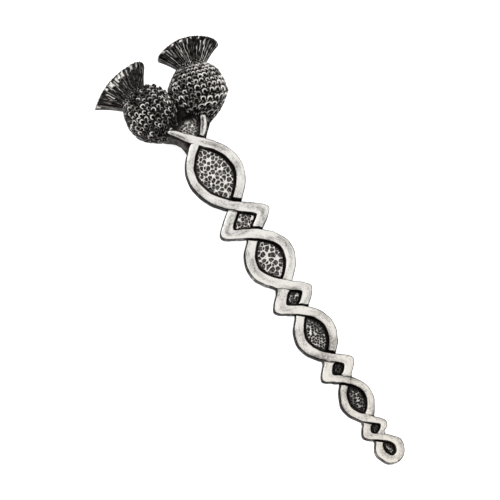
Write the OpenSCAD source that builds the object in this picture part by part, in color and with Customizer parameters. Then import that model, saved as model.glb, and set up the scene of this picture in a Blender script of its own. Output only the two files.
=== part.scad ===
// Kilt pin with two thistle heads over an interlaced shaft, front face up.
// X runs across, Y along the shaft towards the thistles, Z up through the front face.
// It rests on the feet of its hinge ears and its catch, with the wire pin closed beneath.

/* [Casting] */
// Height of the casting's flat back above the surface it rests on
back_z = 6.4; // [6.2:0.1:8]
// Thickness of the bands, from the flat back to their tops
band_h = 2.6; // [2.2:0.1:3.2]
// Thickness of the plate that closes the panels between the bands
floor_h = 1.5; // [1:0.1:1.8]
// How far the back of that plate stands in from the bands' backs
back_recess = 0.2; // [0.1:0.05:0.5]
// Width and depth of the bevel along a band's top edges
band_bevel = 0.25; // [0.1:0.05:0.4]
// How far a band sinks where it passes under the other
under_dip = 0.5; // [0.2:0.05:0.8]
// Distance over which it sinks and rises again
dip_reach = 2.3; // [1.8:0.1:3]
// Spacing of the pebbles on the panel floors
pebble_pitch = 1.25; // [1.1:0.05:2]
// Height of a pebble
pebble_h = 0.35; // [0.2:0.05:0.6]

/* [Thistle heads] */
// Spacing of the scales round a bulb
scale_w = 1.27; // [1:0.01:2]
// Spacing of the rows of scales along a bulb
scale_l = 1.1; // [0.9:0.05:2]
// How far a scale stands out
scale_lift = 0.3; // [0.1:0.05:0.5]
// Relief of a bulb as a share of its half width
bulb_relief = 0.95; // [0.7:0.01:1.1]
// Number of flutes on a crown
flute_count = 22; // [12:1:28]
// Depth of a flute
flute_d = 0.3; // [0.1:0.05:0.5]
// Thickness of a crown at its middle
crown_h = 3.3; // [2.5:0.1:4]

/* [Pin] */
// Radius of the wire
wire_r = 0.55; // [0.45:0.05:0.65]
// Height of the wire's axis above the surface
wire_z = 1.4; // [1.3:0.05:1.6]
// Radius of the hub that the wire turns on
hub_r = 1.1; // [1:0.05:1.3]
// Radius of the rivet through the hub
rivet_r = 0.5; // [0.4:0.05:0.6]
// Place of the hinge along the shaft
hinge_y = 35; // [33:0.5:37]
// Place of the catch along the shaft
catch_y = -27.6; // [-28.5:0.1:-27]
// Gap between the wire and the parts that hold it
running_gap = 0.2; // [0.15:0.05:0.3]

/* [Hidden] */

// Crossings of the two bands, from the thistles down.
// Columns: y, x, angle of the band on top, angle of the band beneath, width of both
CROSSINGS = [
    [29.0, 0.1, 44, 36, 2.1],
    [13.0, -0.35, 40, 41, 2.3],
    [5.75, 0.2, 37, 42, 2.4],
    [-6.8, 0.0, 42, 40, 2.3],
    [-13.2, 0.1, 38, 44, 2.2],
    [-24.7, -0.1, 40, 42, 2.0],
    [-30.4, 0.1, 42, 46, 1.9],
    [-40.0, -0.1, 44, 42, 1.7],
    [-44.4, 0.0, 42, 46, 1.6],
];

// Panels between crossings: almonds and diamonds in turn.
// Columns: left outer x, left inner x, left y, right inner x, right outer x, right y,
// fullness of the outer edges, fullness of the inner edges
PANELS = [
    [-6.0, -4.05, 21.6, 3.95, 6.0, 20.8, 0.36, 0.36],
    [-6.3, -3.1, 8.9, 2.6, 5.65, 9.1, 0.22, 0.04],
    [-5.2, -2.8, -0.3, 3.2, 5.65, -0.2, 0.36, 0.36],
    [-5.0, -1.95, -10.3, 1.9, 4.7, -9.6, 0.22, 0.04],
    [-4.6, -2.35, -19.2, 2.45, 4.5, -18.7, 0.36, 0.36],
    [-4.0, -1.4, -27.8, 1.35, 3.95, -27.6, 0.25, 0.1],
    [-3.65, -1.85, -35.4, 1.95, 3.65, -34.8, 0.36, 0.36],
    [-3.1, -1.0, -42.5, 1.1, 2.95, -42.4, 0.25, 0.12],
];

// End loop: the panel's columns, then x at the foot, outer y and inner y there
LOOP = [-2.8, -0.85, -47.5, 1.9, 3.45, -47.5, 0.5, 0.5];
LOOP_FOOT = [0.35, -50.8, -49.0];

// Upper ends of the bands, where they lie on the bulbs as stalks.
// Columns: x, y, heading in degrees, width, rise above the bands
STALKS = [
    [-3.9, 33.6, -47, 1.2, 1.3],
    [3.9, 32.9, -121, 1.2, 0.9],
];

// Bulbs. Columns: centre x, centre y, lean to the right of +Y
BULBS = [
    [-5.1, 38.2, -14],
    [6.2, 37.5, 15],
];

// Outline of each bulb from its stalk to its neck.
// Columns: distance along its axis from the centre, half width to the left, to the right
BULB_OUTLINES = [
    [
        [-6.3, 0.8, 0.8], [-5.6, 2.3, 2.2], [-4.5, 3.5, 3.4], [-3.2, 4.4, 4.6], [-1.6, 5.2, 5.7],
        [0, 5.35, 6.1], [2, 5.3, 6.2], [4, 4.6, 5.5], [5.3, 3.6, 4.8], [6, 3.2, 4],
    ],
    [
        [-6.5, 0.4, 0.6], [-5.6, 1.2, 2.4], [-4.6, 2.6, 3.7], [-3.4, 4.4, 4.8], [-1.9, 5.5, 5.5],
        [0, 6.1, 5.75], [2.2, 6.2, 5.4], [3.8, 5.4, 4.6], [5.2, 4.3, 3.5], [6, 3.6, 3.1],
    ],
];

// Crowns. Columns: apex x, apex y, radius, left edge and right edge in degrees to the
// right of +Y, inner radius
CROWNS = [
    [-5.9, 39.9, 10.2, -55, 30, 3.0],
    [7.05, 40.5, 8.7, -36, 68, 2.2],
];

// Outline of the web between the stalks, lower than the bands
WEB = [
    [-5.4, 31.9], [-3.9, 30.7], [-3.2, 29.5], [-3.0, 27.9], [0, 27.2],
    [2.2, 28.7], [3.6, 30.0], [4.8, 30.9], [6.5, 32.5], [4, 36], [-4, 36],
];
WEB_SHARE = 0.75;

// The object's centre in the frame of the tables above
left_x = CROWNS[0][0] + CROWNS[0][2] * sin(CROWNS[0][3]);
right_x = CROWNS[1][0] + CROWNS[1][2] * sin(CROWNS[1][4]);
centre = [(left_x + right_x) / 2, (CROWNS[0][1] + CROWNS[0][2] + LOOP_FOOT[1]) / 2];

STEPS = 6; // rings on each half of a panel
LEAD = 0.36; // pull of a band's heading at a crossing, as a share of the distance
DOWN = [0, -1];
SINK = 0.4; // how far joined shapes reach into each other

ear_x = 1.2; // inner face of each hinge ear
ear_t = 1.8;
ear_l = 4.2;
catch_w = 4;
catch_l = 3;
foot_h = 0.6; // height of the upright edge round a foot
hub_z = wire_z + hub_r - wire_r;
point_l = 4;
point_r = 0.08;
point_y = catch_y - catch_l / 2 - 3;

function unit(angle) = [cos(angle), sin(angle)];
function left_of(v) = [-v.y, v.x];
function mix(a, b, t) = a + (b - a) * t;

// Points from a towards b on a cubic curve with the given headings and pulls
function curve(a, heading_a, pull_a, b, heading_b, pull_b) =
    let (p = a + heading_a * pull_a, q = b - heading_b * pull_b)
    [for (i = [0 : STEPS - 1]) let (t = i / STEPS, s = 1 - t)
        s * s * s * a + 3 * s * s * t * p + 3 * s * t * t * q + t * t * t * b];

// Crossing i, left by a band that heads right or left: [left edge, right edge, heading]
function gate(i, to_right) =
    let (
        c = CROSSINGS[i],
        heading = to_right ? unit(-c[2]) : unit(c[3] - 180),
        half = left_of(heading) * c[4] / 2,
        p = [c[1], c[0]]
    )
    [p + half, p - half, heading];

function stalk_gate(s) =
    let (heading = unit(s[2]), half = left_of(heading) * s[3] / 2, p = [s[0], s[1]])
    [p + half, p - half, heading];

// One edge of a band past a panel: from a gate to the panel's widest point and on
function edge_past(start, start_heading, tip, fullness, end, end_heading) =
    let (la = norm(tip - start), lb = norm(end - tip))
    concat(
        curve(start, start_heading, la * LEAD, tip, DOWN, la * fullness),
        curve(tip, DOWN, lb * fullness, end, end_heading, lb * LEAD)
    );

// True when the band that starts on the given side passes panel i on the right
function on_right(i, starts_right) = (i % 2 == 0) == starts_right;

// One edge of a band past panel i; side 0 is the band's left hand as it runs down
function panel_edge(i, starts_right, side) =
    let (
        p = PANELS[i],
        r = on_right(i, starts_right),
        a = gate(i, r),
        b = gate(i + 1, !r),
        outer = (side == 0) == r,
        tip = r ? [outer ? p[4] : p[3], p[5]] : [outer ? p[0] : p[1], p[2]]
    )
    edge_past(a[side], a[2], tip, outer ? p[6] : p[7], b[side], b[2]);

// The last edge runs from the lowest crossing round to the foot of the loop
function loop_edge(starts_right, side) =
    let (
        r = on_right(len(PANELS), starts_right),
        a = gate(len(PANELS), r),
        outer = (side == 0) == r,
        tip = r ? [outer ? LOOP[4] : LOOP[3], LOOP[5]] : [outer ? LOOP[0] : LOOP[1], LOOP[2]],
        foot = [LOOP_FOOT[0], outer ? LOOP_FOOT[1] : LOOP_FOOT[2]],
        along = r ? [-1, 0] : [1, 0],
        drop = norm(tip - a[side]),
        turn = norm(foot - tip)
    )
    concat(
        curve(a[side], a[2], drop * LEAD, tip, DOWN, drop * 0.3),
        curve(tip, DOWN, turn * 0.39, foot, along, turn * 0.39),
        [foot + along * 0.05]
    );

function stalk_edge(starts_right, side) =
    let (
        a = stalk_gate(STALKS[starts_right ? 0 : 1]),
        b = gate(0, starts_right),
        l = norm(b[side] - a[side])
    )
    curve(a[side], a[2], l * LEAD, b[side], b[2], l * LEAD);

function band_edge(starts_right, side) = concat(
    stalk_edge(starts_right, side),
    [for (i = [0 : len(PANELS) - 1]) each panel_edge(i, starts_right, side)],
    loop_edge(starts_right, side)
);

// Share of the dip at point p, summed over the crossings where this band is beneath
function dip_at(p, starts_right) = max([for (i = [0 : len(CROSSINGS) - 1])
    on_right(i, starts_right) ? 0
        : max(0, 1 - pow(norm(p - [CROSSINGS[i][1], CROSSINGS[i][0]]) / dip_reach, 2))]);

function stalk_rise(k, starts_right) =
    STALKS[starts_right ? 0 : 1][4] * max(0, 1 - k / STEPS);

// A band: rings of six points, flat back, upright sides, bevelled top
module band(starts_right) {
    left = band_edge(starts_right, 0);
    right = band_edge(starts_right, 1);
    rings = [for (k = [0 : len(left) - 1])
        let (
            l = left[k],
            r = right[k],
            inset = (r - l) * band_bevel / norm(r - l),
            top = band_h + stalk_rise(k, starts_right) - under_dip * dip_at((l + r) / 2, starts_right)
        )
        [
            [r.x, r.y, 0],
            [r.x, r.y, top - band_bevel],
            [r.x - inset.x, r.y - inset.y, top],
            [l.x + inset.x, l.y + inset.y, top],
            [l.x, l.y, top - band_bevel],
            [l.x, l.y, 0],
        ]];
    tube(rings);
}

// Closed tube through rings of equal length, each ring turning the same way
module tube(rings) {
    n = len(rings[0]);
    last = len(rings) - 1;
    polyhedron(
        points = [for (ring = rings) each ring],
        faces = concat(
            [[for (j = [n - 1 : -1 : 0]) j]],
            [[for (j = [0 : n - 1]) last * n + j]],
            [for (k = [0 : last - 1], j = [0 : n - 1])
                let (a = k * n + j, b = k * n + (j + 1) % n)
                each [[a, b, b + n], [a, b + n, a + n]]]
        )
    );
}

function middle(a, b) = [for (k = [0 : len(a) - 1]) (a[k] + b[k]) / 2];

// Plate that closes panel i, from one band's middle line to the other's
module panel_floor(i) {
    right = middle(panel_edge(i, i % 2 == 0, 0), panel_edge(i, i % 2 == 0, 1));
    left = middle(panel_edge(i, i % 2 == 1, 0), panel_edge(i, i % 2 == 1, 1));
    end = [CROSSINGS[i + 1][1], CROSSINGS[i + 1][0]];
    translate([0, 0, back_recess])
        linear_extrude(floor_h - back_recess)
            polygon(concat(right, [end], [for (k = [len(left) - 1 : -1 : 1]) left[k]]));
}

module loop_floor() {
    foot_in = [LOOP_FOOT[0], LOOP_FOOT[2] - SINK];
    translate([0, 0, back_recess])
        linear_extrude(floor_h - back_recess)
            polygon([[0, -44.8], [LOOP[3] + SINK, -46.8], [LOOP[3] + SINK, -48.2], foot_in,
                [LOOP[1] - SINK, -48.2], [LOOP[1] - SINK, -46.8]]);
}

// Inner edge of panel i on one side as a table of height and x
function inner_table(i, right) =
    let (starts = (i % 2 == 0) == right, edge = panel_edge(i, starts, right ? 1 : 0))
    [for (k = [len(edge) - 1 : -1 : 0]) [edge[k].y, edge[k].x]];

module pebble() {
    hull() {
        translate([0, 0, floor_h - 0.1]) cylinder(h = 0.1, r = pebble_pitch * 0.42, $fn = 5);
        translate([0, 0, floor_h]) cylinder(h = pebble_h, r = pebble_pitch * 0.22, $fn = 5);
    }
}

// Staggered pebbles that keep clear of the panel's walls
module panel_pebbles(i) {
    margin = pebble_pitch * 0.5;
    row = pebble_pitch * 0.87;
    right_inner = inner_table(i, true);
    left_inner = inner_table(i, false);
    top = CROSSINGS[i][0];
    bottom = CROSSINGS[i + 1][0];
    rows = floor((top - bottom) / row);
    for (r = [0 : rows], c = [-5 : 5]) {
        y = bottom + (top - bottom - rows * row) / 2 + r * row;
        x = (c + (r % 2) / 2) * pebble_pitch;
        if (x > lookup(y, left_inner) + margin && x < lookup(y, right_inner) - margin)
            translate([x, y, 0]) pebble();
    }
}

// Half width of an outline at distance v along its axis; side 1 is left, 2 is right
function bulb_half(outline, v, side) = lookup(v, [for (row = outline) [row[0], row[side]]]);

// Half-round bulb with a flat back; every second point stands out as a scale's tip
module bulb(k) {
    b = BULBS[k];
    outline = BULB_OUTLINES[k];
    start = outline[0][0];
    end = outline[len(outline) - 1][0];
    widest = max([for (row = outline) (row[1] + row[2]) / 2]);
    rows = 2 * round((end - start) / scale_l);
    columns = 2 * round(PI * widest / scale_w);
    rings = [for (j = [0 : rows])
        let (
            v = mix(start, end, j / rows),
            left = bulb_half(outline, v, 1),
            right = bulb_half(outline, v, 2)
        )
        concat(
            [for (i = [0 : columns])
                let (
                    angle = 180 * i / columns,
                    tip = j % 2 == 0 && i > 0 && i < columns && (i + j / 2) % 2 == 0,
                    lift = tip ? scale_lift : 0,
                    half = angle < 90 ? right : left
                )
                [(half + lift) * cos(angle), v, ((left + right) / 2 * bulb_relief + lift) * sin(angle)]],
            [[-left, v, -0.01], [right, v, -0.01]]
        )];
    translate([b[0], b[1], 0]) rotate(-b[2]) tube(rings);
}

// Fluted fan: thick along its middle line, with a rounded rim
module crown(c) {
    columns = 2 * flute_count;
    // Columns: share of the radius, share of the thickness, share of the flutes' depth
    profile = [[c[5] / c[2], 1.1, 0.3], [0.62, 0.85, 0.7], [0.88, 0.95, 1], [0.96, 1, 1], [1, 0.75, 0.5]];
    half = (c[4] - c[3]) / 2;
    rings = [for (p = profile)
        concat(
            [for (i = [0 : columns])
                let (
                    angle = mix(c[4], c[3], i / columns),
                    off = (i / columns - 0.5) * 2,
                    ridge = i % 2 == 0 ? 0 : flute_d * p[2],
                    up = crown_h * p[1] * (0.4 + 0.6 * sqrt(1 - off * off * 0.9)) + ridge
                )
                [c[2] * p[0] * sin(angle), c[2] * p[0] * cos(angle), up]],
            [for (i = [columns : -4 : 0])
                let (angle = mix(c[4], c[3], i / columns))
                [c[2] * p[0] * sin(angle), c[2] * p[0] * cos(angle), 0]]
        )];
    translate([c[0], c[1], 0]) tube(rings);
}

module web() {
    linear_extrude(band_h * WEB_SHARE) polygon(WEB);
}

// Hinge ear that tapers to a flat foot, bored for the rivet
module ear(side) {
    difference() {
        translate([side * (ear_x + ear_t / 2), hinge_y, 0])
            hull() {
                translate([-ear_t / 2, -ear_l / 2, 0]) cube([ear_t, ear_l, foot_h]);
                translate([-ear_t / 2, -ear_l / 2 - 0.8, back_z]) cube([ear_t, ear_l + 1.6, SINK]);
            }
        translate([side * (ear_x + ear_t / 2), hinge_y, hub_z])
            rotate([0, 90, 0]) cylinder(h = ear_t + 2, r = rivet_r + running_gap, center = true, $fn = 32);
    }
}

// Hook that the wire slides into from the side
module pin_catch() {
    channel = wire_r + running_gap;
    translate([0, catch_y, 0])
        difference() {
            hull() {
                translate([-catch_w / 2, -catch_l / 2, 0]) cube([catch_w, catch_l, foot_h]);
                translate([-catch_w / 2, -catch_l / 2 - 0.4, back_z]) cube([catch_w, catch_l + 0.8, SINK]);
            }
            translate([0, 0, wire_z])
                rotate([90, 0, 0]) cylinder(h = catch_l + 2, r = channel, center = true, $fn = 32);
            translate([0, -catch_l / 2 - 1, wire_z]) cube([catch_w, catch_l + 2, channel * 1.8]);
        }
}

module casting() {
    color("gray")
        translate([-centre.x, -centre.y, 0]) {
            translate([0, 0, back_z]) {
                band(true);
                band(false);
                for (i = [0 : len(PANELS) - 1]) {
                    panel_floor(i);
                    panel_pebbles(i);
                }
                loop_floor();
                web();
                for (k = [0 : len(BULBS) - 1]) bulb(k);
                for (c = CROWNS) crown(c);
            }
            ear(-1);
            ear(1);
            pin_catch();
        }
}

module brooch_pin() {
    hub_l = 2 * (ear_x - running_gap);
    color("lightgray")
        translate([-centre.x, -centre.y, 0]) {
            translate([0, hinge_y, hub_z])
                rotate([0, 90, 0]) {
                    cylinder(h = hub_l, r = hub_r, center = true, $fn = 48);
                    cylinder(h = 2 * (ear_x + ear_t), r = rivet_r, center = true, $fn = 32);
                }
            translate([0, hinge_y, wire_z])
                rotate([90, 0, 0]) cylinder(h = hinge_y - point_y - point_l, r = wire_r, $fn = 32);
            translate([0, point_y + point_l, wire_z])
                rotate([90, 0, 0]) cylinder(h = point_l, r1 = wire_r, r2 = point_r, $fn = 32);
        }
}

casting();
brooch_pin();
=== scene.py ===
"""Kilt pin with two thistle heads over an interlaced shaft, in antiqued pewter.

Charted sizes are millimetres in the casting's own chart: X across, Y along the shaft towards
the thistles, Z up from the casting's flat back. place() moves them to the shared frame.
"""
import math

import bpy
import numpy as np
from mathutils import Matrix, Vector


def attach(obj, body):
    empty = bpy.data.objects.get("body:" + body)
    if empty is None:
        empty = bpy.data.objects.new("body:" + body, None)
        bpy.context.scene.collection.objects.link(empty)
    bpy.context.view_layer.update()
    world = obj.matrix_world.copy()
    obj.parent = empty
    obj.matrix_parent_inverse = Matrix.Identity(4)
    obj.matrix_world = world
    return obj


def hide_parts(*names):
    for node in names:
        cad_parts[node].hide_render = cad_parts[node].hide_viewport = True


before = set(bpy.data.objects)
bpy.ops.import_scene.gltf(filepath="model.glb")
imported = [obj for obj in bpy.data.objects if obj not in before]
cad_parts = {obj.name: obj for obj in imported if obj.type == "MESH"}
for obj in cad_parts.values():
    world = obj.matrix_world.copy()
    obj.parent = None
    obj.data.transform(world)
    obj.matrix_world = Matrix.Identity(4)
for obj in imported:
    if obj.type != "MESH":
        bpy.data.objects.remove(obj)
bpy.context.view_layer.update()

MM = 0.001

# Height of the casting's back over the table, then of the bands and floors over that back
BACK_Z = 6.4
BAND_H = 2.6
FLOOR_H = 1.5
# Where raised surfaces end, just over the back
NEAR_BACK = 0.02

# Crossings of the two bands, from the thistles down.
# Columns: y, x, angle of the band on top, angle of the band beneath, width of both
CROSSINGS = [
    (29.0, 0.1, 44, 36, 2.1),
    (13.0, -0.35, 40, 41, 2.3),
    (5.75, 0.2, 37, 42, 2.4),
    (-6.8, 0.0, 42, 40, 2.3),
    (-13.2, 0.1, 38, 44, 2.2),
    (-24.7, -0.1, 40, 42, 2.0),
    (-30.4, 0.1, 42, 46, 1.9),
    (-40.0, -0.1, 44, 42, 1.7),
    (-44.4, 0.0, 38, 46, 1.6),
]

# The gap that shows where the band beneath meets the one on top, on its upper and lower
# side, and how far the band beneath flares there.
# Columns: width, depth and flare above, then width, depth and flare below
GAPS = [
    (0.12, 0.5, 0.0, 0.0, 0.04, 0.12),
    (0.4, 1.1, 0.0, 0.05, 0.26, 0.0),
    (0.2, 1.1, 0.0, 0.18, 0.9, 0.1),
    (0.04, 0.2, 0.1, 0.03, 0.16, 0.2),
    (0.12, 1.0, 0.2, 0.12, 0.8, 0.1),
    (0.24, 1.1, 0.1, 0.05, 0.25, 0.4),
    (0.0, 0.22, 0.3, 0.14, 0.9, 0.1),
    (0.0, 0.25, 0.1, 0.06, 0.3, 0.4),
    (0.0, 0.12, 0.2, 0.16, 0.9, 0.4),
]
GAP_EASE = 0.16
FLARE_REACH = 0.8
# How far and how deep the band beneath goes under the one on top
LAP = 0.15
LAP_DEPTH = 0.06
# Distance from a crossing within which its gap and flare count
CROSSING_REACH = 3.2

# Bulges and dents of the bands' edges. Columns: x, y, reach, how far the edge is pushed out
NUDGES = [
    (-2.6, -29.1, 0.7, -0.24), (2.6, -43.2, 0.45, 0.2), (1.7, -43.95, 0.4, -0.25),
    (-3.3, -12.3, 0.8, -0.12), (-2.0, -6.95, 0.7, 0.32), (0.5, -39.1, 1.0, 0.42),
    (-0.85, -25.3, 0.6, 0.3), (-4.12, -5.17, 0.8, 0.18),
]

# Creases across the band on top, beside two of the crossings.
# Columns: x and y of its upper end, x and y of its lower end
CREASES = [(1.6, -30.1, 0.5, -31.75), (0.95, -43.5, 0.0, -45.15)]
CREASE_WIDTH = 0.13
CREASE_DEPTH = 0.05

# Panels between crossings: almonds and diamonds in turn.
# Columns: left outer x, left inner x, left y, right inner x, right outer x, right y,
# fullness of the outer edges, fullness of the inner edges
PANELS = [
    (-6.1, -4.05, 21.5, 3.75, 6.0, 20.8, 0.36, 0.36),
    (-6.3, -3.05, 8.8, 2.5, 5.85, 9.1, 0.19, 0.1),
    (-5.32, -2.8, -0.6, 3.2, 5.65, -0.2, 0.36, 0.36),
    (-5.1, -1.86, -10.5, 1.9, 4.68, -9.8, 0.2, 0.14),
    (-4.65, -2.28, -19.2, 2.25, 4.5, -18.7, 0.36, 0.33),
    (-4.2, -1.3, -28.05, 1.42, 4.2, -27.4, 0.18, 0.16),
    (-3.65, -1.76, -35.4, 1.86, 3.65, -34.8, 0.36, 0.33),
    (-3.2, -0.88, -42.7, 1.25, 2.98, -42.2, 0.2, 0.2),
]

# Punched floors of the panels and the loop.
# Columns: spacing of the pits, how brightly the ridges between them are rubbed
FLOORS = [
    (0.95, 1.3), (0.8, 1.35), (1.06, 1.26), (0.66, 0.9), (0.6, 1.15),
    (0.66, 0.62), (0.62, 0.72), (0.62, 0.75), (0.76, 1.05),
]

# End loop: the panel's columns, then x at the foot, outer y and inner y there
LOOP = (-2.68, -0.5, -47.2, 1.5, 3.6, -47.4)
LOOP_FOOT = (0.5, -50.85, -48.9)
# Painted highlight in the loop. Columns: x, y, slope, half width, half height, brightness
LOOP_PAINTED_HIGHLIGHT = (0.4, -47.3, 0.35, 0.22, 0.75, 1.3)

# Upper ends of the bands, where they lie on the bulbs as stalks.
# Columns: x, y, heading in degrees, width, rise above the bands, how dark its groove is
STALKS = [
    (-4.4, 33.65, -44, 1.2, 1.0, 0.3),
    (4.05, 33.15, -121, 1.2, 0.9, 0.6),
]

# Bulbs. Columns: centre x, centre y, lean to the right of +Y, spacing of the scales, their
# unevenness, how far they are turned at random in radians, how brightly they are rubbed and
# lit with painted light, how bright the flecks between them are, height of the ragged tips
# beside the crown
BULBS = {
    "left_bulb": (-5.1, 38.2, -14, 1.16, 0.45, 1.2, 1.25, 0.42, 0.3),
    "right_bulb": (6.2, 37.5, 15, 1.38, 0.3, 0.3, 1.7, 0.6, 0.0),
}

# Outline of each bulb from its stalk to its neck.
# Columns: distance along its axis from the centre, half width to the left, to the right
BULB_OUTLINES = {
    "left_bulb": [
        (-6.3, 0.65, 0.7), (-5.6, 2.1, 2.1), (-4.5, 3.35, 3.4), (-3.2, 4.4, 4.6), (-1.6, 5.35, 5.7),
        (0, 5.5, 6.1), (2, 5.3, 6.2), (4, 4.45, 5.5), (5.3, 3.5, 4.8), (6, 3.2, 4),
    ],
    "right_bulb": [
        (-6.5, 0.4, 0.6), (-5.6, 1.2, 2.0), (-4.6, 2.6, 3.25), (-3.4, 4.4, 4.45), (-1.9, 5.5, 5.6),
        (-0.9, 5.95, 6.35), (0, 6.2, 6.15), (1.2, 6.45, 6.2), (2.2, 6.6, 5.95), (3.4, 6.0, 5.6),
        (4.4, 5.15, 5.2), (5.2, 4.5, 4.35), (6, 3.7, 3.4),
    ],
}
# Height of a bulb as a share of its half width, and the half width past which it grows no more
BULB_RELIEF = 0.95
BULB_FULL = 5.9
# How far the skin lies inside the outline, so that the scales reach it
SCALE_ROOM = 0.14
BULB_GRID = (260, 350)

# Share of the spacing that the scales keep at these distances along the axis
SCALE_SIZES_AT = (-6, -3, 0, 3, 5, 6)
SCALE_SIZES = {
    "left_bulb": (0.9, 1.05, 1.04, 1.0, 0.85, 0.7),
    "right_bulb": (1.0, 1.12, 1.04, 0.82, 0.56, 0.48),
}

# Painted light and shade on the scales along the axis: least, gain, where it is full, reach.
# Then, as places and shares: painted light and shade round the bulb, in radians from its right;
# painted shade on the lower scales, along the axis from them; and how flat the scales are
# along the axis.
SCALE_PAINTED_LIGHT = {
    "left_bulb": (0.6, 0.5, 1.8, 3.0),
    "right_bulb": (0.7, 0.3, 0.6, 3.6),
}
PAINTED_LIGHT_ROUND = {
    "left_bulb": ((2.3, 2.8), (1.0, 0.6)),
    "right_bulb": ((0.3, 0.8, 1.5, 2.1, 2.7), (0.9, 1.25, 1.15, 0.8, 0.5)),
}
PAINTED_SHADE_ALONG = {
    "left_bulb": ((0,), (1.0,)),
    "right_bulb": ((-3.2, -1.5), (0.55, 1.0)),
}
FLATNESS = {
    "left_bulb": ((0,), (1.0,)),
    "right_bulb": ((-3.2, -1.2), (0.62, 1.0)),
}

# Crowns. Columns: apex x, apex y, inner radius, number of flutes, how brightly they are
# rubbed, share of the reach from which they fade, width of the plain bar on the left in
# degrees, how bright the dark places stay
CROWNS = {
    "left_crown": (-5.9, 39.9, 3.0, 20, 0.72, 0.78, 4.5, 0.16),
    "right_crown": (7.05, 40.5, 2.2, 25, 1.6, 0.66, 3.2, 0.05),
}

# Rim of each crown, from its left edge. Columns: degrees to the right of +Y, radius
CROWN_RIMS = {
    "left_crown": [
        (-55.2, 10.62), (-41, 10.15), (-29, 9.95), (-14, 9.9), (-3, 10.0), (7, 10.25), (15, 10.7),
        (21, 10.95), (25, 10.98), (28, 10.85), (30, 10.35), (30.8, 9.7),
    ],
    "right_crown": [
        (-33, 8.75), (-31.5, 9.12), (-27, 9.32), (-10, 9.1), (12, 9.1), (23, 9.1), (34, 9.2),
        (46, 9.4), (55, 9.47), (61, 9.32), (64.5, 8.92),
    ],
}

# Painted highlights on the crowns, with the relief raised under them. Columns: degrees, half width,
# reach from, reach to, brightness
CROWN_PAINTED_HIGHLIGHTS = {
    "left_crown": [
        (13, 2.6, 0.8, 0.96, 0.9), (6, 1.2, 0.7, 0.93, 0.7), (-1, 3.2, 0.79, 0.95, 1.1),
        (-6.5, 2.6, 0.83, 0.96, 1.0), (-11, 2.2, 0.76, 0.94, 0.95), (-15.5, 0.9, 0.66, 0.9, 0.75),
        (-21, 3.2, 0.77, 0.96, 1.0), (-25.5, 1.1, 0.66, 0.95, 0.9), (-30, 2.4, 0.85, 0.97, 0.95),
        (-32, 0.8, 0.6, 0.85, 0.7), (-35.5, 1.2, 0.56, 0.86, 1.1), (-39, 0.9, 0.48, 0.75, 0.6),
        (-46, 1.6, 0.62, 0.78, 0.45), (-53, 1.0, 0.84, 0.98, 0.85), (20.5, 1.0, 0.82, 0.97, 0.95),
        (18, 1.2, 0.34, 0.5, 0.4), (4, 0.9, 0.6, 0.76, 0.5), (-18, 0.8, 0.46, 0.85, 0.75),
        (-6, 0.8, 0.45, 0.7, 0.5), (-29, 0.7, 0.4, 0.6, 0.5),
    ],
    "right_crown": [
        (-20, 3.2, 0.9, 0.97, 0.8), (-15.5, 1.1, 0.68, 0.92, 1.0), (-11, 0.8, 0.55, 0.85, 0.8),
        (-5, 3.6, 0.9, 0.96, 0.95), (-0.5, 0.8, 0.36, 0.86, 1.0), (3.5, 0.7, 0.36, 0.8, 0.8),
        (8, 4.6, 0.87, 0.93, 0.9), (18, 1.2, 0.78, 0.94, 1.0), (23, 1.7, 0.88, 0.95, 1.0),
        (32.5, 0.9, 0.42, 0.66, 0.9), (35, 1.3, 0.86, 0.96, 1.0), (38.5, 0.9, 0.48, 0.84, 1.1),
        (44, 1.3, 0.7, 0.9, 0.8), (49, 0.7, 0.3, 0.75, 0.45), (62, 1.0, 0.86, 0.97, 0.6),
    ],
}
CROWN_H = 3.3
# Share of the reach, and the crown's height there
CROWN_BODY = ((0, 0.3, 0.6, 0.9, 1), (1.1, 0.86, 0.84, 0.98, 0.95))
# Rings beneath the rim. Columns: drop, how far further in, wear
CROWN_WALL = ((0.1, -0.04, 0.4), (0.35, 0.0, 0.15), (1.2, 0.02, 0.0), (9.0, 0.05, 0.0))
# Unevenness over a crown: sway of the ridges, breaks in them, blots, beads near the neck, and
# scratches on the bar. Columns: scale across, scale along, size, seed
CROWN_RIPPLES = (
    (14, 5, 1.2, 70), (55, 14, 1.6, 71), (26, 16, 1.1, 72), (38, 24, 1.1, 74), (150, 3, 1.2, 73),
)

# Edges of the web between the stalks. Columns: y, left x, right x
WEB = [
    (27.4, -3.0, 1.2), (28.6, -3.05, 2.3), (29.6, -3.2, 3.3), (30.6, -3.8, 4.4),
    (31.2, -4.4, 5.0), (31.9, -5.4, 5.6), (33.0, -6.6, 6.6), (38.6, -6.6, 6.8),
]

# Hidden fittings on the back, which reach so far into it
SINK = 0.4
EAR_X = 1.2
EAR_T = 1.8
EAR_L = 4.2
EAR_FLARE = 0.8
HINGE_Y = 35.0
RIVET_Z = 1.95
RIVET_HOLE_R = 0.7
CATCH_Y = -27.6
CATCH_W = 4.0
CATCH_L = 3.0
CATCH_FLARE = 0.4
WIRE_Z = 1.4
CHANNEL_R = 0.75

# How far the handles of the bands' curves reach, as shares of the distance between points
LEAD = 0.36
LOOP_LEAD = 0.3
LOOP_TURN = 0.39
DOWN = np.array([0.0, -1.0])

# From the casting's chart to the shared frame
SHIFT = np.array([-0.4306, 0.35, BACK_Z])


# Small helpers

def unit(angle):
    """Unit vector at an angle in degrees from +X."""
    return np.array([math.cos(math.radians(angle)), math.sin(math.radians(angle))])


def left_of(v):
    """Vectors turned a quarter to the left."""
    return np.stack([-v[..., 1], v[..., 0]], axis=-1)


def smooth(x, low, high):
    """0 below low, 1 above high, eased between."""
    t = np.clip((x - low) / (high - low), 0, 1)
    return t * t * (3 - 2 * t)


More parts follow.
